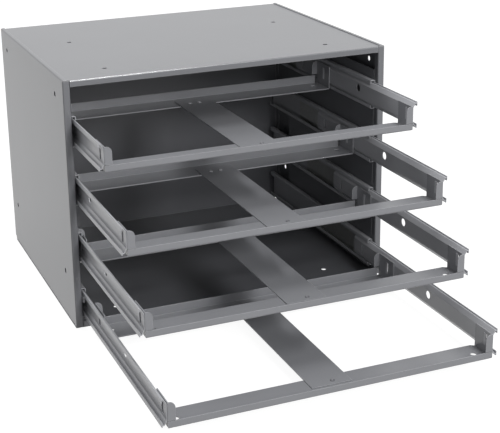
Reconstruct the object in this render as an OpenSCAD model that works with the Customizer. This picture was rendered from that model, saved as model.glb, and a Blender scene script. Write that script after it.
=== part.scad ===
/* [Cabinet] */

// Width of the cabinet over its sides
cabinet_width = 508; // [490:1:540]
// Depth of the cabinet from front face to back
cabinet_depth = 404; // [402:1:430]
// Height of the cabinet
cabinet_height = 378; // [330:1:420]
// Thickness of the cabinet's sheet steel
cabinet_sheet = 1.2; // [0.9:0.1:1.5]
// Width of the flange turned inward at the front of each side
side_flange = 10.8; // [10:0.1:14]
// Depth of the return folded back behind that flange
side_return = 11; // [9.5:0.5:12]
// Width of the strip each side folds over the top and under the bottom
seam_strip = 6; // [4:0.5:9]
// Height of the front flange of the top and the bottom
lip_of_top = 10.2; // [7:0.5:12]
// Outside radius of the cabinet's visible front bends
front_bend = 2.4; // [1.8:0.1:3]
// Depth of the relief cut at each lower rear corner
relief_depth = 5; // [4:0.5:8]
// Height of that relief cut
relief_height = 7; // [4:0.5:10]
// Width of the flanges that join the back to the sides
back_flange = 12; // [8:1:20]
// Distance that the back's flanges stop short of top and bottom
back_flange_margin = 16; // [12:1:40]

/* [Bolt holes] */

// Diameter of the bolt holes
bolt_hole = 7.9; // [6:0.1:10]
// Distance between the top holes across the cabinet
top_bolt_spacing_across = 355.2; // [300:0.1:400]
// Distance between the top holes from front to back
top_bolt_spacing_deep = 197; // [150:1:230]
// Distance from the front face to the front top holes
top_bolt_setback = 51.5; // [35:0.5:60]
// Distance between the side holes from front to back
side_bolt_spacing_deep = 317.5; // [310:0.5:321]
// Distance from the top of the cabinet down to the upper side holes
side_bolt_headroom = 30; // [30:0.5:45]
// Distance from the front face to the front side holes
side_bolt_setback = 48; // [40:0.5:60]
// Height of the lower side holes
side_bolt_height = 75; // [50:0.5:80]

/* [Slide panels] */

// Distance from the front face to the slide panels
slide_panel_setback = 12.5; // [12.5:0.5:15]
// Depth of the slide panels
slide_panel_depth = 317.5; // [300:0.5:330]
// Height of the lower edge of the slide panels
slide_panel_bottom = 8; // [4:1:12]
// Distance from the top of the cabinet down to the slide panels
slide_panel_headroom = 40; // [30:1:50]

/* [Slides] */

// Height of a slide
slide_height = 45.7; // [45.2:0.1:48]
// Thickness of a slide from the frame to the cabinet
slide_thickness = 9.7; // [9.6:0.1:10.5]
// Thickness of the slides' steel
slide_sheet = 1.2; // [1.1:0.1:1.3]
// Distance from the front face to the cabinet's half of each slide
slide_setback = 8.5; // [7:0.5:10]
// Length of the cabinet's half of each slide
cabinet_member_length = 385; // [380:1:388]
// Length of the frame's half of each slide
drawer_member_length = 399.5; // [360:0.5:400]
// Height of the flat web of the frame's half
web_flat = 23; // [20:0.5:24]
// Distance that its noses reach back below their races
nose_skirt = 3.4; // [2:0.1:4]
// Diameter of the slide balls
ball_diameter = 3; // [2.6:0.1:3.1]
// Gap between the balls and their races
ball_gap = 0.3; // [0.2:0.05:0.4]
// Balls in each race
balls_in_race = 10; // [4:1:14]
// Length of a ball cage
cage_length = 180; // [140:1:190]
// Thickness of a ball cage
cage_sheet = 0.3; // [0.2:0.05:0.35]
// Distance from a cage's end to its last ball
cage_margin = 6; // [4:0.5:10]
// Diameter of the hole in the frame's half of each slide
web_hole = 12; // [8:0.5:14]
// Distance of that hole behind the frame's front
web_hole_setback = 169.3; // [140:0.1:200]
// Height of that hole above the slide's middle
web_hole_rise = 2.9; // [0:0.1:4]
// Height of the stops bent out of both halves
stop_height = 16; // [6:0.5:18]
// Distance from the cabinet's front face to its slide stops
stop_setback = 24; // [18:0.5:24.5]
// Gap between the stops of a frame that is fully out
stop_gap = 0.3; // [0.2:0.05:0.5]
// Overlap of the two stops
stop_lap = 0.6; // [0.3:0.1:1]
// Distance from the rear end of the frame's half of a slide to its stop
drawer_stop_inset = 24.3; // [16:0.1:30]
// Distance from the cabinet's front face to the cages of such a frame
cage_setback = 28; // [27:0.5:30]
// Gap between a cage and the slide's halves
cage_gap = 0.25; // [0.2:0.05:0.3]
// Outside radius of the bends of the cabinet's half of a slide
slide_bend = 2; // [1.3:0.1:2.4]

/* [Frames] */

// Thickness of the frames' sheet steel
frame_sheet = 1.5; // [1.3:0.1:1.8]
// Height of the lowest frame above the floor
lowest_frame = 13.8; // [13:0.1:20]
// Height left above the place of the top box
headroom = 13; // [12:0.1:20]
// Height of the slide's middle above the frame's underside
slide_rise = 22.7; // [22:0.1:24]
// Depth of a frame from its front rail to its rear rail
frame_depth = 316; // [305:1:340]
// Depth of the front rail
front_rail_depth = 44.5; // [40:0.5:60]
// Depth of the rear rail
rear_rail_depth = 46.5; // [40:0.5:60]
// Height of the front rail's lip
front_lip = 10; // [8:0.1:14]
// Height of the rear rail's lip
rear_lip = 14.4; // [10:0.1:15]
// Height of the front rail's end plates
front_plate = 36; // [34:0.5:40]
// Height of the rear rail's end plates
rear_plate = 38.5; // [34:0.5:40]
// Distance the front end plates stop short of the rail's inner edge
front_plate_step = 3.5; // [0.5:0.5:4]
// Width of the corners cut off that edge beside the end plates
corner_cut = 5; // [2:0.5:8]
// Width of the corner tabs folded from the end plates
corner_tab = 10.5; // [9:0.5:14]
// Radius of the free corner of each tab
tab_radius = 8; // [4:0.5:9]
// Gap between a front tab and the lip below it
front_tab_gap = 0.8; // [0.4:0.1:1.5]
// Gap between a rear tab and the lip below it
rear_tab_gap = 2.2; // [0.4:0.1:3]
// Outside radius of the frames' bends
frame_bend = 2.4; // [2:0.1:3]
// Diameter of the holes near the rails' ends
rail_hole = 8.5; // [6:0.1:10]
// Distance from a rail's end to its hole
rail_hole_inset = 17; // [15:0.5:25]
// Distance from a rail's lip to its holes
rail_hole_setback = 20; // [14:0.5:22]
// Width of the relief slots at the ends of the rear lip
rear_relief = 3.5; // [1:0.1:5]
// Width of the center strap
strap_width = 58; // [40:1:80]
// Distance from the frame's front to the strap
strap_setback = 17.5; // [10:0.5:25]
// Distance from the frame's rear to the strap
strap_rear_setback = 17.5; // [10:0.5:30]
// Height of the bridges that key the slides into the end plates
bridge_height = 18; // [10:0.5:20]
// Width of a bridge
bridge_width = 4.5; // [3:0.1:6]
// Width of the slit on each side of a bridge
bridge_slit = 1.2; // [0.6:0.1:1.5]
// Distance that a bridge stands out of the end plate's inner face
bridge_proud = 0.8; // [0.2:0.1:1.2]
// Gap above and below each bridge in its slot
bridge_gap = 0.3; // [0.2:0.05:0.5]
// Distance from the front lip to the front bridges
front_bridge_setback = 16; // [14:0.5:20]
// Distance from the rear lip to the rear bridges
rear_bridge_setback = 26; // [18:0.5:28]

/* [Position as photographed] */

// Distance the top frame stands out of the cabinet
pull_out_1 = 124; // [0:1:350]
// Distance the second frame stands out of the cabinet
pull_out_2 = 211; // [0:1:350]
// Distance the third frame stands out of the cabinet
pull_out_3 = 273; // [0:1:350]
// Distance the bottom frame stands out of the cabinet
pull_out_4 = 350; // [0:1:350]

/* [Hidden] */

$fn = 48;
painted = [0.60, 0.61, 0.62];
painted_frame = [0.54, 0.55, 0.56];
bright_steel = [0.78, 0.79, 0.80];

half_width = cabinet_width / 2;
half_depth = cabinet_depth / 2;
half_opening = half_width - side_flange;
inner_wall = half_width - cabinet_sheet;
seam = half_width - seam_strip;
// upper face of the top panel, one sheet below the strips that lap it
panel_face = cabinet_height - cabinet_sheet;
panel_under = panel_face - cabinet_sheet;
overrun = cabinet_sheet;

frame_half = half_opening - slide_thickness;
plate_inside = frame_half - frame_sheet;
pull_outs = [pull_out_1, pull_out_2, pull_out_3, pull_out_4];
frame_pitch = (cabinet_height - lowest_frame - headroom) / len(pull_outs);
side_bolt_spacing_up = cabinet_height - side_bolt_height - side_bolt_headroom;
slide_panel_top = cabinet_height - slide_panel_headroom;

// heights from the slide's middle
slide_half = slide_height / 2;
web_half = web_flat / 2;
race_top = slide_half - slide_sheet;
ball_height = race_top - ball_gap - ball_diameter / 2;
race_floor = ball_height - ball_diameter / 2 - ball_gap;
race_under = race_floor - slide_sheet;
cage_lip = ball_height + cage_gap;

// distances from a frame's end plate towards the cabinet's side
cabinet_web = slide_thickness - slide_sheet;
cage_web = cabinet_web - cage_gap - cage_sheet;
nose_out = cage_web - cage_gap;
nose_in = nose_out - slide_sheet;
ball_out = nose_in - ball_gap - ball_diameter / 2;
curl_out = ball_out - ball_diameter / 2 - ball_gap;
curl_in = curl_out - slide_sheet;
race_start = ball_out - ball_diameter / 6;

// the slanted part of the frame's half, from its web to the race
slant_rise = race_floor - web_half;
slant_length = norm([race_start, slant_rise]);
slant_drop = slide_sheet * race_start / slant_length;
slant_shift = slide_sheet * slant_rise / slant_length;
under_start = web_half - slant_drop + (slide_sheet - slant_shift) * slant_rise / race_start;
under_end = slant_shift + (race_under - web_half + slant_drop) * race_start / slant_rise;

ball_pitch = (cage_length - 2 * cage_margin) / (balls_in_race - 1);
strap_length = frame_depth - strap_setback - strap_rear_setback;
drawer_stop = frame_sheet + drawer_member_length - drawer_stop_inset - slide_sheet;
full_pull_out = drawer_stop - stop_setback - slide_sheet - stop_gap;
// how far the stop of the frame's half reaches out from its end plate
stop_out = ball_out + stop_lap;
bridge_places = [front_bridge_setback, frame_depth - rear_bridge_setback];
bridge_half = bridge_width / 2;
window_half = bridge_half + bridge_slit;
bridge_in = -frame_sheet - bridge_proud;

function pulled(i) = min(pull_outs[i - 1], full_pull_out);
function frame_front(i) = -half_depth - pulled(i);
function frame_base(i) = lowest_frame + (len(pull_outs) - i) * frame_pitch;
function cage_front(i) = -half_depth + cage_setback + (full_pull_out - pulled(i)) / 2;

// a block between two opposite corners
module block(low, high) {
    translate(low) cube(high - low);
}

// children drawn in X and Z, run from one depth to another
module along_depth(front, back) {
    translate([0, back, 0]) rotate([90, 0, 0]) linear_extrude(back - front) children();
}

// children drawn in Y and Z, run from one side to the other
module along_width(left, right) {
    translate([left, 0, 0]) rotate([90, 0, 90]) linear_extrude(right - left) children();
}

module left() {
    mirror([1, 0, 0]) children();
}

module both_sides() {
    children();
    left() children();
}

// what a rounded corner leaves off, for material above and right of the corner
module round_off(radius) {
    difference() {
        translate([-overrun, -overrun]) square(radius + overrun);
        translate([radius, radius]) circle(radius);
    }
}

// an L of sheet with its outer corner at the origin and rounded
module bent_sheet(run, rise, sheet, radius) {
    difference() {
        square([run, rise]);
        translate([sheet, sheet]) square([run, rise]);
        round_off(radius);
    }
}

// the slots cut at each lower rear corner of the cabinet
module corner_relief() {
    both_sides()
    block([seam, half_depth - relief_depth, -overrun],
        [half_width + overrun, half_depth + overrun, relief_height]);
}

// a side seen from above, with its front flange
module side_plan() {
    difference() {
        translate([half_opening, -half_depth]) square([side_flange, cabinet_depth]);
        translate([half_opening + cabinet_sheet, -half_depth + cabinet_sheet])
        square([side_flange - 2 * cabinet_sheet, cabinet_depth]);
        translate([half_opening, -half_depth]) round_off(front_bend);
        translate([half_width, -half_depth]) mirror([1, 0]) round_off(front_bend);
        translate([half_opening - overrun, -half_depth + side_return])
        square([cabinet_sheet + 2 * overrun, cabinet_depth]);
    }
}

// the same at the very top, where the return is cut away
module side_end_plan() {
    difference() {
        side_plan();
        translate([half_opening - overrun, -half_depth + cabinet_sheet])
        square([cabinet_sheet + 2 * overrun, cabinet_depth]);
    }
}

module side_bolt_holes() {
    for (y = [0, side_bolt_spacing_deep], z = [0, side_bolt_spacing_up])
    translate([inner_wall - overrun, side_bolt_setback - half_depth + y, side_bolt_height + z])
    rotate([0, 90, 0]) cylinder(h = cabinet_sheet + 2 * overrun, d = bolt_hole);
}

// side with its front flange, its return and the strips folded over top and bottom
module side() {
    color(painted)
    difference() {
        union() {
            translate([0, 0, cabinet_sheet])
            linear_extrude(cabinet_height - cabinet_sheet) side_end_plan();
            translate([0, 0, cabinet_sheet])
            linear_extrude(panel_under - cabinet_sheet) side_plan();
            for (z = [cabinet_sheet, panel_face])
            block([seam, -half_depth + cabinet_sheet, z],
                [inner_wall, half_depth, z + cabinet_sheet]);
        }
        along_depth(-half_depth - overrun, half_depth + overrun) {
            translate([half_width, cabinet_sheet]) mirror([1, 0]) round_off(front_bend);
            translate([half_width, cabinet_height]) mirror([1, 0]) mirror([0, 1])
            round_off(front_bend);
        }
        corner_relief();
        side_bolt_holes();
    }
}

// sheet of the top, flat face at this height, its flange turned down between the sides
module cover(face, reach, lip) {
    difference() {
        union() {
            along_width(-half_opening, half_opening)
            translate([-half_depth, face]) mirror([0, 1])
            bent_sheet(cabinet_depth, lip, cabinet_sheet, front_bend);
            both_sides()
            block([half_opening - cabinet_sheet, -half_depth + front_bend, face - cabinet_sheet],
                [reach, half_depth, face]);
        }
        for (x = [-1, 1] * top_bolt_spacing_across / 2, y = [0, top_bolt_spacing_deep])
        translate([x, top_bolt_setback - half_depth + y, face - cabinet_sheet - overrun])
        cylinder(h = cabinet_sheet + 2 * overrun, d = bolt_hole);
    }
}

// top panel, lapped by the sides' upper strips
module top_panel() {
    color(painted) cover(panel_face, inner_wall, lip_of_top - cabinet_sheet);
}

// bottom panel, under the sides' lower strips
module bottom_panel() {
    color(painted)
    difference() {
        mirror([0, 0, 1]) cover(0, half_width, lip_of_top);
        corner_relief();
    }
}

// back with two flanges that lie against the sides
module back_panel() {
    color(painted)
    difference() {
        union() {
            block([-inner_wall, half_depth - cabinet_sheet, cabinet_sheet],
                [inner_wall, half_depth, panel_under]);
            both_sides()
            block([inner_wall - cabinet_sheet, half_depth - back_flange, back_flange_margin],
                [inner_wall, half_depth, cabinet_height - back_flange_margin]);
        }
        corner_relief();
    }
}

// inner panel that carries the slides, flanged out to the side at both ends
module slide_panel() {
    front = -half_depth + slide_panel_setback;
    back = front + slide_panel_depth;
    color(painted)
    translate([0, 0, slide_panel_bottom])
    linear_extrude(slide_panel_top - slide_panel_bottom)
    difference() {
        translate([half_opening, front]) square([inner_wall - half_opening, back - front]);
        translate([half_opening + cabinet_sheet, front + cabinet_sheet])
        square([side_flange, back - front - 2 * cabinet_sheet]);
        translate([half_opening, front]) round_off(front_bend);
        translate([half_opening, back]) mirror([0, 1]) round_off(front_bend);
    }
}

// cabinet's half of a slide, a C with its edges curled over the balls
module cabinet_member(i) {
    front = -half_depth + slide_setback;
    stop = -half_depth + stop_setback;
    color(painted)
    translate([frame_half, 0, frame_base(i) + slide_rise])
    union() {
        along_depth(front, front + cabinet_member_length)
        difference() {
            translate([curl_in, -slide_half]) square([slide_thickness - curl_in, slide_height]);
            translate([curl_out, -race_top]) square([cabinet_web - curl_out, 2 * race_top]);
            translate([curl_in - overrun, -race_under])
            square([slide_sheet + 2 * overrun, 2 * race_under]);
            for (flip = [0, 1]) mirror([0, flip]) {
                translate([curl_in, -slide_half]) round_off(slide_bend);
                translate([slide_thickness, -slide_half]) mirror([1, 0]) round_off(slide_bend);
            }
        }
        block([ball_out, stop, -stop_height / 2],
            [slide_thickness, stop + slide_sheet, stop_height / 2]);
    }
}

// frame's half of a slide: web with bridges, slants, and races that end in a nose
module drawer_member(i) {
    upper = [[0, web_half], [race_start, race_floor], [nose_in, race_floor],
        [nose_in, ball_height], [nose_out, ball_height], [nose_out, race_under - nose_skirt],
        [nose_in, race_under - nose_skirt], [nose_in, race_under],
        [under_end, race_under], [slide_sheet, under_start]];
    lower = [for (k = [len(upper) - 1:-1:0]) [upper[k][0], -upper[k][1]]];
    color(painted_frame)
    translate([frame_half, frame_front(i), frame_base(i) + slide_rise])
    difference() {
        union() {
            along_depth(frame_sheet, frame_sheet + drawer_member_length)
            polygon(concat(upper, lower));
            block([0, drawer_stop, -stop_height / 2],
                [stop_out, drawer_stop + slide_sheet, stop_height / 2]);
            for (y = bridge_places)
            block([bridge_in, y - bridge_half, -bridge_height / 2],
                [slide_sheet, y + bridge_half, bridge_height / 2]);
        }
        // the window that the stop was bent out of
        block([-overrun, drawer_stop - stop_out + slide_sheet, -stop_height / 2],
            [slide_sheet + overrun, drawer_stop, stop_height / 2]);
        for (y = bridge_places)
        block([bridge_in + slide_sheet, y - window_half, -bridge_height / 2 + slide_sheet],
            [slide_sheet + overrun, y + window_half, bridge_height / 2 - slide_sheet]);
        translate([-overrun, web_hole_setback, web_hole_rise])
        rotate([0, 90, 0]) cylinder(h = slide_sheet + 2 * overrun, d = web_hole);
    }
}

// slots in the end plates for the bridges
module bridge_slots() {
    reach = bridge_height / 2 + bridge_gap;
    both_sides()
    for (y = bridge_places)
    block([plate_inside - overrun, y - window_half, slide_rise - reach],
        [frame_half + overrun, y + window_half, slide_rise + reach]);
}

// a rail with its lip at the front: flange, lip, two end plates and their corner tabs
module rail(depth, lip, tab_base, plate, plate_depth, slot) {
    difference() {
        union() {
            along_width(-frame_half, frame_half) bent_sheet(depth, lip, frame_sheet, frame_bend);
            both_sides() {
                block([plate_inside, 0, tab_base], [frame_half, plate_depth, plate]);
                block([plate_inside, frame_bend, 0], [frame_half, plate_depth, plate]);
                along_depth(0, frame_sheet)
                difference() {
                    translate([frame_half - corner_tab, tab_base])
                    square([corner_tab, plate - tab_base]);
                    translate([frame_half - corner_tab, plate]) mirror([0, 1])
                    round_off(tab_radius);
                }
            }
        }
        along_depth(-overrun, depth + overrun) both_sides()
        translate([frame_half, 0]) mirror([1, 0]) round_off(frame_bend);
        both_sides() {
            translate([frame_half - rail_hole_inset, rail_hole_setback, -overrun])
            cylinder(h = frame_sheet + 2 * overrun, d = rail_hole);
            if (slot > 0)
            block([plate_inside - slot, -overrun, frame_sheet],
                [plate_inside, frame_sheet, tab_base]);
        }
    }
}

// what is cut off the front rail's inner corners, slanting down to the end plates
module corner_cuts() {
    both_sides()
    translate([plate_inside, front_rail_depth, -overrun])
    linear_extrude(frame_sheet + 2 * overrun)
    polygon([[-corner_cut, overrun], [-corner_cut, 0], [0, -front_plate_step],
        [frame_sheet + overrun, -front_plate_step], [frame_sheet + overrun, overrun]]);
}

module front_rail(i) {
    color(painted_frame)
    translate([0, frame_front(i), frame_base(i)])
    difference() {
        rail(front_rail_depth, front_lip, front_lip + front_tab_gap, front_plate,
            front_rail_depth - front_plate_step, 0);
        corner_cuts();
        bridge_slots();
    }
}

module rear_rail(i) {
    color(painted_frame)
    translate([0, frame_front(i), frame_base(i)])
    difference() {
        translate([0, frame_depth, 0]) mirror([0, 1, 0])
        rail(rear_rail_depth, rear_lip, rear_lip + rear_tab_gap, rear_plate, rear_rail_depth,
            rear_relief);
        bridge_slots();
    }
}

// strap welded on top of both rails
module center_strap(i) {
    color(painted_frame)
    translate([0, frame_front(i) + strap_setback, frame_base(i) + frame_sheet])
    translate([-strap_width / 2, 0, 0]) cube([strap_width, strap_length, frame_sheet]);
}

module at_balls() {
    for (up = [-1, 1], k = [0:balls_in_race - 1])
    translate([ball_out, cage_margin + k * ball_pitch, up * ball_height]) children();
}

// cage that spaces the balls, with a pocket at each one
module ball_cage(i) {
    color(bright_steel)
    translate([frame_half, cage_front(i), frame_base(i) + slide_rise])
    difference() {
        block([ball_out + ball_gap, 0, -cage_lip - cage_sheet],
            [cage_web + cage_sheet, cage_length, cage_lip + cage_sheet]);
        block([ball_out - overrun, -overrun, -cage_lip],
            [cage_web, cage_length + overrun, cage_lip]);
        at_balls()
        cylinder(h = 2 * ball_diameter, r = ball_diameter / 2 + ball_gap, center = true);
    }
}

module balls(i) {
    color(bright_steel)
    translate([frame_half, cage_front(i), frame_base(i) + slide_rise])
    at_balls() sphere(d = ball_diameter);
}

left() side();  // left_side
side();  // right_side
top_panel();
bottom_panel();
back_panel();
left() slide_panel();  // left_slide_panel
slide_panel();  // right_slide_panel
left() cabinet_member(1);  // cabinet_member_1_left
cabinet_member(1);  // cabinet_member_1_right
left() cabinet_member(2);  // cabinet_member_2_left
cabinet_member(2);  // cabinet_member_2_right
left() cabinet_member(3);  // cabinet_member_3_left
cabinet_member(3);  // cabinet_member_3_right
left() cabinet_member(4);  // cabinet_member_4_left
cabinet_member(4);  // cabinet_member_4_right
front_rail(1);  // front_rail_1
rear_rail(1);  // rear_rail_1
center_strap(1);  // center_strap_1
left() drawer_member(1);  // drawer_member_1_left
drawer_member(1);  // drawer_member_1_right
front_rail(2);  // front_rail_2
rear_rail(2);  // rear_rail_2
center_strap(2);  // center_strap_2
left() drawer_member(2);  // drawer_member_2_left
drawer_member(2);  // drawer_member_2_right
front_rail(3);  // front_rail_3
rear_rail(3);  // rear_rail_3
center_strap(3);  // center_strap_3
left() drawer_member(3);  // drawer_member_3_left
drawer_member(3);  // drawer_member_3_right
front_rail(4);  // front_rail_4
rear_rail(4);  // rear_rail_4
center_strap(4);  // center_strap_4
left() drawer_member(4);  // drawer_member_4_left
drawer_member(4);  // drawer_member_4_right
left() ball_cage(1);  // ball_cage_1_left
ball_cage(1);  // ball_cage_1_right
left() ball_cage(2);  // ball_cage_2_left
ball_cage(2);  // ball_cage_2_right
left() ball_cage(3);  // ball_cage_3_left
ball_cage(3);  // ball_cage_3_right
left() ball_cage(4);  // ball_cage_4_left
ball_cage(4);  // ball_cage_4_right
left() balls(1);  // balls_1_left
balls(1);  // balls_1_right
left() balls(2);  // balls_2_left
balls(2);  // balls_2_right
left() balls(3);  // balls_3_left
balls(3);  // balls_3_right
left() balls(4);  // balls_4_left
balls(4);  // balls_4_right
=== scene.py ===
# %% [markdown]
# Compartment box rack.
# The real object is a small steel cabinet with an open front. Four frames run in and out of it on
# ball slides, and each frame carries a lift-out box of compartments. Every sheet, rail, strap and slide
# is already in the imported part, so this lesson gives them their enamel, adds the marks of the welds
# that hold the straps, and sets up the camera, the floor and the light.

import math

import bpy
from mathutils import Matrix, Vector


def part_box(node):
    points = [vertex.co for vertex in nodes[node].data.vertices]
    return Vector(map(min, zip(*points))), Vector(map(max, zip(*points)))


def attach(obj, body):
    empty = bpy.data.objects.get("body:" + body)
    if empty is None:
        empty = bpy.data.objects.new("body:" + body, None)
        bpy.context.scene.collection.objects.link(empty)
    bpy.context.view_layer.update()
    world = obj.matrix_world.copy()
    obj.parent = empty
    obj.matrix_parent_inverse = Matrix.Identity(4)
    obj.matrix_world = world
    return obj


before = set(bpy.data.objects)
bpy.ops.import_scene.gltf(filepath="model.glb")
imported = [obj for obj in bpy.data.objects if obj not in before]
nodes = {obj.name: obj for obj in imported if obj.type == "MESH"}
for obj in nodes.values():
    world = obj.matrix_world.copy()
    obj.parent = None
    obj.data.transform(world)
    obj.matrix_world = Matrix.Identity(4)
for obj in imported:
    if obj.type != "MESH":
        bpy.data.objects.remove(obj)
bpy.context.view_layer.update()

# %% [markdown]
# The rack is measured before anything is added. The right side panel gives the cabinet's half width,
# half depth and height, and the sheet thickness comes from how far the back panel lies inside the
# sides. Sizes that belong to one finish or one mark are written in millimetres and turned to metres by
# one factor.

# %% Measure the cabinet
MM = 0.001
FRAMES = (1, 2, 3, 4)

side_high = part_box("right_side")[1]
half_width = side_high.x
half_depth = side_high.y
cabinet_top = side_high.z
sheet = half_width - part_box("back_panel")[1].x
print("cabinet:", round(2 * half_width, 4), round(2 * half_depth, 4), round(cabinet_top, 4))
print("sheet:", round(sheet / MM, 2), "mm")

# %% [markdown]
# The camera stands to the left of the cabinet and looks down on it. Its place, heading and tilt were
# worked out from the cabinet's edges and the frames, in proportion to each other. The picture isn't
# centred on the lens's axis, so the lens is shifted a little, as a view camera's would be.

# %% Place the camera
PICTURE_WIDTH, PICTURE_HEIGHT = 500, 433
LENS_AXIS = (218.0, 151.9)
FOCAL_PIXELS = 1223.5
CAMERA_PLACE = Vector((-0.6539, -1.8194, 0.7855))
HEADING, TILT, ROLL = (math.radians(a) for a in (21.28, 17.33, -1.2))
SENSOR = 36.0
NEAREST, FARTHEST = 0.05, 50

ahead = Vector((math.sin(HEADING) * math.cos(TILT), math.cos(HEADING) * math.cos(TILT),
                -math.sin(TILT)))
level_right = Vector((math.cos(HEADING), -math.sin(HEADING), 0))
level_up = level_right.cross(ahead)
camera_right = math.cos(ROLL) * level_right + math.sin(ROLL) * level_up
camera_up = camera_right.cross(ahead)

camera_data = bpy.data.cameras.new("camera")
camera_data.sensor_width = SENSOR
camera_data.lens = FOCAL_PIXELS * SENSOR / PICTURE_WIDTH
camera_data.shift_x = (PICTURE_WIDTH / 2 - LENS_AXIS[0]) / PICTURE_WIDTH
camera_data.shift_y = (LENS_AXIS[1] - PICTURE_HEIGHT / 2) / PICTURE_WIDTH
camera_data.clip_start = NEAREST
camera_data.clip_end = FARTHEST
camera = bpy.data.objects.new("camera", camera_data)
bpy.context.scene.collection.objects.link(camera)
turn = Matrix((camera_right, camera_up, -ahead)).transposed().to_4x4()
camera.matrix_world = Matrix.Translation(CAMERA_PLACE) @ turn
bpy.context.scene.camera = camera
print("lens:", round(camera_data.lens, 1), "mm, shift:", round(camera_data.shift_x, 4),
      round(camera_data.shift_y, 4))

# %% [markdown]
# Materials are built from nodes. A paint maker gives a colour as it looks on a screen, which isn't the
# amount of light that a renderer works with, so one function turns each hex colour to linear values.
# A second small function adds one node with its settings and its links, whatever kind of node it is.

# %% Helpers for colour and nodes


def linear(hex_colour):
    """The linear red, green, blue and alpha of an sRGB colour written as six hex digits."""
    parts = [int(hex_colour[i:i + 2], 16) / 255 for i in (0, 2, 4)]
    return tuple(c / 12.92 if c <= 0.04045 else ((c + 0.055) / 1.055) ** 2.4 for c in parts) + (1,)


def add_node(tree, kind, links=None, **settings):
    """Adds a node. Settings are its own properties, and links says what each input takes."""
    node = tree.nodes.new(kind)
    for name, value in settings.items():
        setattr(node, name, value)
    for key, value in (links or {}).items():
        if isinstance(value, bpy.types.NodeSocket):
            tree.links.new(value, node.inputs[key])
        else:
            node.inputs[key].default_value = value
    return node


def new_material(name):
    """An empty material, its tree, its surface shader, and the place of each point on the piece."""
    material = bpy.data.materials.new(name)
    material.use_nodes = True
    tree = material.node_tree
    tree.nodes.clear()
    shader = add_node(tree, "ShaderNodeBsdfPrincipled")
    add_node(tree, "ShaderNodeOutputMaterial", {"Surface": shader.outputs[0]})
    place = add_node(tree, "ShaderNodeTexCoord").outputs["Object"]
    return material, tree, shader, place


print("black, mid grey, white:", [round(linear(c)[0], 3) for c in ("000000", "808080", "ffffff")])

# %% [markdown]
# The cabinet is sprayed with grey stoving enamel over sheet steel. Enamel is a smooth, hard coat: it
# gives broad, blurred reflections, and a close look shows the faint ripple that painters call orange
# peel. The ripple is far finer than a pixel here, so it is drawn a little coarser, at about 3 mm, and
# the shade drifts very slightly from place to place, as sprayed paint does. A fine and a coarse noise
# texture make the two.

# %% Ripple and clouds of sprayed paint
RIPPLE = 3 * MM
RIPPLE_HEIGHT = 0.02 * MM
RIPPLE_STRENGTH = 0.5
COAT_EDGE = 0.5 * MM
CLOUD = 120 * MM
CLOUD_SHADE = 0.02
CLOUD_LOW, CLOUD_HIGH = 0.3, 0.7


def ripple(tree, place):
    """The normal of a faintly rippled coat that rounds every edge a little."""
    noise = add_node(tree, "ShaderNodeTexNoise", {"Vector": place, "Scale": 1 / RIPPLE, "Detail": 1.0})
    edge = add_node(tree, "ShaderNodeBevel", {"Radius": COAT_EDGE}, samples=4)
    bump = add_node(tree, "ShaderNodeBump", {
        "Height": noise.outputs[0], "Distance": RIPPLE_HEIGHT, "Strength": RIPPLE_STRENGTH,
        "Normal": edge.outputs[0]})
    return bump.outputs[0]


def drift(tree, place, shade):
    """The shade with soft, large clouds a little lighter and darker than it."""
    cloud = add_node(tree, "ShaderNodeTexNoise", {"Vector": place, "Scale": 1 / CLOUD, "Detail": 3.0})
    factor = add_node(tree, "ShaderNodeMapRange", {
        0: cloud.outputs[0], 1: CLOUD_LOW, 2: CLOUD_HIGH, 3: 1 - CLOUD_SHADE, 4: 1 + CLOUD_SHADE})
    return add_node(tree, "ShaderNodeVectorMath", {0: shade, 1: factor.outputs[0]},
                    operation="MULTIPLY").outputs[0]


print("ripple:", round(RIPPLE / MM), "mm, clouds:", round(CLOUD / MM), "mm")

# %% [markdown]
# Along edges and bends the colour is lighter: a painted highlight for the thin lines of light that sharp
# edges catch. The Bevel node finds those places: its rounded normal turns away from the flat one only
# near an edge, and the dot product of the two says how far it has turned.

# %% Painted highlight along edges
EDGE_HIGHLIGHT_COLOUR = "d2d3d7"
EDGE_LIGHT_RADIUS = 0.9 * MM
EDGE_LIGHT_SHARE = 0.6
TURN_SEEN, TURN_FULL = 0.97, 0.8


def painted_edge_light(tree, colour, edge_light_and_shade):
    """The colour, mixed with the edge colour along edges and bends to paint light and shade there."""
    rounded = add_node(tree, "ShaderNodeBevel", {"Radius": EDGE_LIGHT_RADIUS}, samples=6)
    flat = add_node(tree, "ShaderNodeNewGeometry").outputs["True Normal"]
    turned = add_node(tree, "ShaderNodeVectorMath", {0: rounded.outputs[0], 1: flat},
                      operation="DOT_PRODUCT").outputs["Value"]
    share = add_node(tree, "ShaderNodeMapRange", {
        0: turned, 1: TURN_SEEN, 2: TURN_FULL, 3: 0.0, 4: EDGE_LIGHT_SHARE})
    return add_node(tree, "ShaderNodeMix", {0: share.outputs[0], 6: colour, 7: linear(edge_light_and_shade)},
                    data_type="RGBA").outputs[2]


print("painted edge light:", round(EDGE_LIGHT_RADIUS / MM, 1), "mm")

# %% [markdown]
# The inside of the cabinet is painted darker, as painted shade for the light that hardly reaches into
# it. A mask tells inner faces from outer ones by where they lie between the sheets. The front bend of
# the top is where hands and boxes rub, so a second mask finds it. Both are built from one helper that
# asks whether a coordinate lies between two values, which needs no picture and no painting by hand.

# %% Masks for the painted shade inside and the rubbed bend
BEND = 2.4 * MM


def span(tree, place, axis, low, high):
    """A mask that is 1 where a coordinate lies between two values."""
    value = add_node(tree, "ShaderNodeSeparateXYZ", {0: place}).outputs[axis]
    above = add_node(tree, "ShaderNodeMath", {0: value, 1: low}, operation="GREATER_THAN").outputs[0]
    below = add_node(tree, "ShaderNodeMath", {0: value, 1: high}, operation="LESS_THAN").outputs[0]
    return both(tree, above, below)


def both(tree, first, second):
    """A mask that is 1 where two masks are."""
    return add_node(tree, "ShaderNodeMath", {0: first, 1: second}, operation="MULTIPLY").outputs[0]


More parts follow.
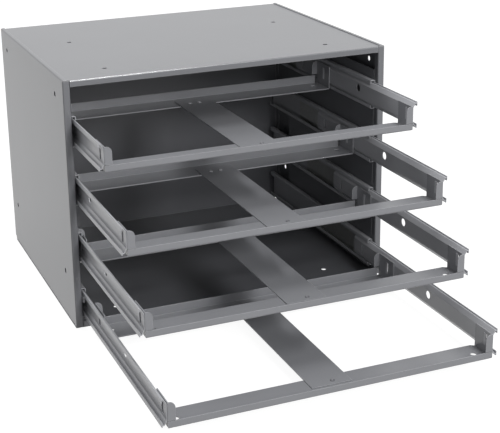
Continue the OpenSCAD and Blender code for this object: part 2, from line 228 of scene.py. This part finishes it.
def inside_shade_mask(tree, place):
    """1 between the cabinet's sheets, for painted shade. The top panel lies under the strips of the
    sides.
    """
    side_middle = half_width - sheet / 2
    rear_middle = half_depth - sheet / 2
    top_middle = cabinet_top - 1.5 * sheet
    across = span(tree, place, "X", -side_middle, side_middle)
    deep = span(tree, place, "Y", -rear_middle, rear_middle)
    high = span(tree, place, "Z", sheet / 2, top_middle)
    return both(tree, both(tree, across, deep), high)


def bend_mask(tree, place):
    """1 on the front bend of the top panel."""
    panel_top = cabinet_top - sheet
    deep = span(tree, place, "Y", -half_depth - sheet, -half_depth + BEND)
    high = span(tree, place, "Z", panel_top - BEND / 2, cabinet_top)
    return both(tree, deep, high)


print("rubbed bend:", round(BEND / MM, 1), "mm deep")

# %% [markdown]
# One function mixes every enamel, because the pieces differ only in colour and gloss. It starts from
# what a gloss enamel has, an IOR of 1.5 and a low roughness. Where the front bend of the top is rubbed,
# the coat is smoother and mirrors more. All pieces wear the same grey: the cabinet gets the darkest
# colour, and the frames a lighter and the slides the lightest, painted light that lifts them out of
# the shade they stand in.

# %% Enamel
ENAMEL_ROUGHNESS, ENAMEL_IOR = 0.28, 1.5
RUBBED_ROUGHNESS, RUBBED_IOR = 0.16, 2.0


def enamel(name, outer, inner=None, edge_light_and_shade=EDGE_HIGHLIGHT_COLOUR,
           roughness=ENAMEL_ROUGHNESS, ior=ENAMEL_IOR):
    """Stoving enamel. With an inner colour it is the cabinet's: painted shade inside, rubbed at the
    bend.
    """
    material, tree, shader, place = new_material(name)
    colour = add_node(tree, "ShaderNodeRGB").outputs[0]
    colour.default_value = linear(outer)
    if inner:
        # Painted shade: the inner colour darkens the faces inside the cabinet.
        inside = inside_shade_mask(tree, place)
        colour = add_node(tree, "ShaderNodeMix", {0: inside, 6: colour, 7: linear(inner)},
                          data_type="RGBA").outputs[2]
        bend = bend_mask(tree, place)
        for setting, plain, rubbed in (("Roughness", roughness, RUBBED_ROUGHNESS),
                                       ("IOR", ior, RUBBED_IOR)):
            value = add_node(tree, "ShaderNodeMapRange", {0: bend, 3: plain, 4: rubbed})
            tree.links.new(value.outputs[0], shader.inputs[setting])
    else:
        shader.inputs["Roughness"].default_value = roughness
        shader.inputs["IOR"].default_value = ior
    # Edges and bends take the edge colour: a painted highlight when it is light, painted shade when
    # dark.
    colour = painted_edge_light(tree, colour, edge_light_and_shade)
    tree.links.new(drift(tree, place, colour), shader.inputs["Base Color"])
    tree.links.new(ripple(tree, place), shader.inputs["Normal"])
    return material


# The inner colour is painted shade, because little light reaches inside the cabinet.
cabinet_enamel_shaded_inside = enamel("cabinet enamel with painted shade inside", "76777b", inner="65666a")
# The frames' and slides' lighter greys are painted light for the shade they stand in.
frame_enamel_painted_light = enamel("frame enamel with painted light", "8c8d91")
slide_enamel_painted_light = enamel("slide enamel with painted light", "afb0b4")
print("enamels:", cabinet_enamel_shaded_inside.name, "|", frame_enamel_painted_light.name, "|", slide_enamel_painted_light.name)

# %% [markdown]
# The balls run in cages of zinc-plated strip. Zinc is a soft white metal with a dull shine, blotched by
# the size of its crystals. The balls themselves are hardened steel, ground and polished until they
# mirror the light.

# %% Zinc plate and ball steel
ZINC_CRYSTALS = 4 * MM
ZINC_DARK, ZINC_LIGHT = "a8a9a6", "bfc0bd"
ZINC_ROUGHNESS = 0.38
BEARING_STEEL = "c9cacc"
BEARING_ROUGHNESS = 0.12


def zinc_plate():
    """Bright zinc plating on thin steel strip."""
    material, tree, shader, place = new_material("zinc-plated strip")
    grain = add_node(tree, "ShaderNodeTexNoise", {
        "Vector": place, "Scale": 1 / ZINC_CRYSTALS, "Detail": 2.0})
    shade = add_node(tree, "ShaderNodeMix", {
        0: grain.outputs[0], 6: linear(ZINC_DARK), 7: linear(ZINC_LIGHT)}, data_type="RGBA")
    tree.links.new(shade.outputs[2], shader.inputs["Base Color"])
    shader.inputs["Metallic"].default_value = 1.0
    shader.inputs["Roughness"].default_value = ZINC_ROUGHNESS
    return material


def ball_steel():
    """Polished bearing steel."""
    material, _, shader, _ = new_material("polished bearing steel")
    shader.inputs["Base Color"].default_value = linear(BEARING_STEEL)
    shader.inputs["Metallic"].default_value = 1.0
    shader.inputs["Roughness"].default_value = BEARING_ROUGHNESS
    return material


cage_zinc = zinc_plate()
bearing_steel = ball_steel()
print("metals:", cage_zinc.name, "|", bearing_steel.name)

# %% [markdown]
# Each node of the part has one material slot. The names say which finish it takes: panels get the
# cabinet's enamel, rails and straps the frames', and the slide halves the lightest copy of the same
# grey, its extra lightness painted light.

# %% Paint the part


def finish_for(name):
    """The material of a node, by its name."""
    if name.startswith("balls"):
        return bearing_steel
    if name.startswith("ball_cage"):
        return cage_zinc
    if "member" in name:
        return slide_enamel_painted_light
    if "rail" in name or "strap" in name:
        return frame_enamel_painted_light
    return cabinet_enamel_shaded_inside


for name, node in nodes.items():
    node.data.materials.clear()
    node.data.materials.append(finish_for(name))
print("painted:", len(nodes), "nodes")

# %% [markdown]
# A spot weld leaves a small dished ring where the electrode pressed the sheets together. The strap of
# each frame is welded to its rails, with one mark to be seen over the front rail and two over the rear.
# The mark is round, so its points are laid out ring by ring from a profile, as if turned on a lathe. It
# is made one unit in radius and one high here, and gets its real size where it is set.

# %% One weld mark
WELD_SEGMENTS = 20
WELD_RINGS = [(1.0, -0.2), (0.9, 0.75), (0.76, 1.0), (0.62, 0.3)]
WELD_MIDDLE = 0.1


def weld_dish():
    """A low ring with a dished middle. It faces up, and its foot lies just inside the sheet."""
    points, faces = [], []
    for radius, height in WELD_RINGS:
        for k in range(WELD_SEGMENTS):
            a = 2 * math.pi * k / WELD_SEGMENTS
            points.append((radius * math.cos(a), radius * math.sin(a), height))
    points.append((0, 0, WELD_MIDDLE))
    for ring in range(len(WELD_RINGS) - 1):
        for k in range(WELD_SEGMENTS):
            a = ring * WELD_SEGMENTS + k
            b = ring * WELD_SEGMENTS + (k + 1) % WELD_SEGMENTS
            faces.append((a, b, b + WELD_SEGMENTS, a + WELD_SEGMENTS))
    last = (len(WELD_RINGS) - 1) * WELD_SEGMENTS
    for k in range(WELD_SEGMENTS):
        faces.append((last + k, last + (k + 1) % WELD_SEGMENTS, len(points) - 1))
    faces.append(tuple(reversed(range(WELD_SEGMENTS))))
    mesh = bpy.data.meshes.new("weld dish")
    mesh.from_pydata(points, [], faces)
    for face in mesh.polygons:
        face.use_smooth = face.normal.z > 0
    new_dish = bpy.data.objects.new("weld dish", mesh)
    bpy.context.scene.collection.objects.link(new_dish)
    return new_dish


dish = weld_dish()
print("weld dish:", len(dish.data.polygons), "faces")

# %% [markdown]
# The marks repeat, so Geometry Nodes set them: a tree puts one dish on each point of a list, scales it
# to the radius and height that it is given, and paints it. Realize Instances turns the copies into real
# faces, because an export drops instances.

# %% A tree that repeats the mark


def weld_tree():
    """A node tree that sets a dish on every point and gives all of them one finish."""
    tree = bpy.data.node_groups.new("weld marks", "GeometryNodeTree")
    for name, kind in (("Points", "NodeSocketGeometry"), ("Dish", "NodeSocketObject"),
                       ("Radius", "NodeSocketFloat"), ("Height", "NodeSocketFloat"),
                       ("Finish", "NodeSocketMaterial")):
        tree.interface.new_socket(name, in_out="INPUT", socket_type=kind)
    tree.interface.new_socket("Marks", in_out="OUTPUT", socket_type="NodeSocketGeometry")
    given = add_node(tree, "NodeGroupInput").outputs
    shape = add_node(tree, "GeometryNodeObjectInfo", {"Object": given["Dish"]}).outputs["Geometry"]
    spots = add_node(tree, "GeometryNodeMeshToPoints", {"Mesh": given["Points"]}).outputs[0]
    size = add_node(tree, "ShaderNodeCombineXYZ", {
        0: given["Radius"], 1: given["Radius"], 2: given["Height"]})
    marks = add_node(tree, "GeometryNodeInstanceOnPoints", {
        "Points": spots, "Instance": shape, "Scale": size.outputs[0]})
    real = add_node(tree, "GeometryNodeRealizeInstances", {0: marks.outputs[0]})
    done = add_node(tree, "GeometryNodeSetMaterial", {0: real.outputs[0], "Material": given["Finish"]})
    add_node(tree, "NodeGroupOutput", {0: done.outputs[0]})
    return tree


marks_tree = weld_tree()
print("tree:", marks_tree.name, "with", len(marks_tree.nodes), "nodes")

# %% [markdown]
# The points are vertices of a plain mesh, placed from each frame's strap and rear rail. The result is
# turned into a plain mesh that rides on its frame, and the helper that carried the tree is removed.
# The rear marks are painted lighter than the frame, a painted highlight for the glint their rims catch,
# and the front one darker with a dark ring, painted shade for its dish, so the two get meshes and paints
# of their own.

# %% Weld marks on the straps
WELD_RADIUS = 3.4 * MM
WELD_PROUD = 1.0 * MM
WELD_X = (-11 * MM, 5 * MM)
FRONT_WELD_INSET = 9 * MM
REAR_WELD_INSET = 6 * MM

# Painted highlight on the rear marks, painted shade on the front one.
rear_weld_painted_highlight = enamel("rear weld enamel with painted highlight", "97989c", roughness=0.2, ior=1.8)
front_weld_painted_shade = enamel("front weld enamel with painted shade", "727377", edge_light_and_shade="505155", roughness=0.4)


def weld_marks(name, points, finish, body):
    """The marks at these points as one plain mesh that rides on a body."""
    seed_mesh = bpy.data.meshes.new(name + " points")
    seed_mesh.from_pydata(points, [], [])
    holder = bpy.data.objects.new(name + " points", seed_mesh)
    bpy.context.scene.collection.objects.link(holder)
    modifier = holder.modifiers.new("marks", "NODES")
    modifier.node_group = marks_tree
    inputs = {s.name: s.identifier for s in marks_tree.interface.items_tree
              if s.item_type == "SOCKET" and s.in_out == "INPUT"}
    modifier[inputs["Dish"]] = dish
    modifier[inputs["Radius"]] = WELD_RADIUS
    modifier[inputs["Height"]] = WELD_PROUD
    modifier[inputs["Finish"]] = finish
    depsgraph = bpy.context.evaluated_depsgraph_get()
    mesh = bpy.data.meshes.new_from_object(holder.evaluated_get(depsgraph))
    marks = bpy.data.objects.new(name, mesh)
    bpy.context.scene.collection.objects.link(marks)
    bpy.data.objects.remove(holder)
    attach(marks, body)
    return marks


for i in FRAMES:
    strap_low, strap_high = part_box(f"center_strap_{i}")
    front_row = strap_low.y + FRONT_WELD_INSET
    rear_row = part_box(f"rear_rail_{i}")[0].y + REAR_WELD_INSET
    front_spots = [(WELD_X[1], front_row, strap_high.z)]
    rear_spots = [(x, rear_row, strap_high.z) for x in WELD_X]
    front_mark = weld_marks(f"front_weld_{i}", front_spots, front_weld_painted_shade, f"frame_{i}")
    rear_marks = weld_marks(f"rear_welds_{i}", rear_spots, rear_weld_painted_highlight, f"frame_{i}")
    print(front_mark.name, rear_marks.name, len(rear_marks.data.vertices), "points")
bpy.data.objects.remove(dish)

# %% [markdown]
# The rack stands on a plain floor under an even white room, the way a product stands in a photographer's
# light tent. The paper is a mid grey, so that it throws little light up at the object, and it glows for
# the eye alone: straight from the camera, in a mirror or through glass it looks white. The glow alone
# falls just short of white, so the object's shadow stays on the floor as a faint tone.

# %% Floor
FLOOR_COLOUR = "747474"
FLOOR_REACH = 6.0
PAPER_ROUGHNESS = 0.95
PAPER_GLOW = 5.3


def shown_to_eye(tree):
    """1 for rays that the eye follows, straight or through a mirror or glass, and 0 for the rest."""
    ray = add_node(tree, "ShaderNodeLightPath").outputs
    straight = add_node(tree, "ShaderNodeMath", {0: ray["Is Camera Ray"], 1: ray["Is Glossy Ray"]},
                        operation="MAXIMUM")
    return add_node(tree, "ShaderNodeMath", {0: straight.outputs[0], 1: ray["Is Transmission Ray"]},
                    operation="MAXIMUM").outputs[0]


def paper():
    """Matt grey paper that glows for the eye alone, almost up to white."""
    material, tree, shader, _ = new_material("light tent paper")
    shader.inputs["Base Color"].default_value = linear(FLOOR_COLOUR)
    shader.inputs["Roughness"].default_value = PAPER_ROUGHNESS
    glow = add_node(tree, "ShaderNodeMath", {0: shown_to_eye(tree), 1: PAPER_GLOW},
                    operation="MULTIPLY")
    shader.inputs["Emission Color"].default_value = linear(FLOOR_COLOUR)
    tree.links.new(glow.outputs[0], shader.inputs["Emission Strength"])
    return material


floor_mesh = bpy.data.meshes.new("floor")
corners = [(-FLOOR_REACH, -FLOOR_REACH, 0), (FLOOR_REACH, -FLOOR_REACH, 0),
           (FLOOR_REACH, FLOOR_REACH, 0), (-FLOOR_REACH, FLOOR_REACH, 0)]
floor_mesh.from_pydata(corners, [], [(0, 1, 2, 3)])
floor_mesh.materials.append(paper())
floor = bpy.data.objects.new("floor", floor_mesh)
bpy.context.scene.collection.objects.link(floor)
print("floor:", 2 * FLOOR_REACH, "m square")

# %% [markdown]
# Soft studio light: a lamp high at the left rear for the side panel, a broad one over the back for the
# top, and three in front. The strongest of those stands almost straight ahead and shines down through
# the frames' windows into the open cabinet, the high one lights the frames from above, and the weak one
# at the left lifts the cabinet's left flange out of the frames' shadow. A narrow strip overhead draws a
# bright line along the front bend of the top. Sizes are in metres and powers in watts.

# %% Lamps
MIDDLE = (0, -0.15, 0.2)
FRONT_BEND = (0.05, -0.2, 0.38)


def lamp(name, place, size, power, target=MIDDLE):
    """A soft lamp, size wide and deep, that points at a target."""
    data = bpy.data.lights.new(name, "AREA")
    data.shape = "RECTANGLE"
    data.size, data.size_y = size
    data.energy = power
    softbox = bpy.data.objects.new(name, data)
    bpy.context.scene.collection.objects.link(softbox)
    softbox.location = place
    aim = (Vector(target) - Vector(place)).to_track_quat("-Z", "Y")
    softbox.rotation_euler = aim.to_euler()
    return softbox


lamp("side", (-1.5, 1.1, 1.9), size=(1.4, 1.4), power=17)
lamp("front", (0.3, -2.9, 1.4), size=(0.6, 0.6), power=35)
lamp("left front", (-0.5, -3.2, 0.9), size=(0.6, 0.6), power=6)
lamp("high front", (0.6, -1.8, 2.4), size=(0.9, 0.9), power=16)
lamp("top", (-0.1, 0.9, 2.9), size=(2.0, 2.0), power=16)
lamp("strip", (0.55, -0.45, 3.0), size=(1.0, 0.15), power=20, target=FRONT_BEND)
print("lamps:", len(bpy.data.lights))

# %% [markdown]
# The room itself gives a little light from all round. It has the same double face as the floor: the eye
# sees full white, while the object gets only about a quarter of it.

# %% Room light
ROOM_LIGHT = 0.27

world = bpy.data.worlds.new("room")
world.use_nodes = True
bpy.context.scene.world = world
room = world.node_tree
room.nodes.clear()
strength = add_node(room, "ShaderNodeMapRange", {0: shown_to_eye(room), 3: ROOM_LIGHT, 4: 1.0})
paper_white = add_node(room, "ShaderNodeBackground", {"Color": (1, 1, 1, 1),
                                                      "Strength": strength.outputs[0]})
add_node(room, "ShaderNodeOutputWorld", {"Surface": paper_white.outputs[0]})
bpy.context.scene.view_settings.view_transform = "Standard"
print("room light:", ROOM_LIGHT)
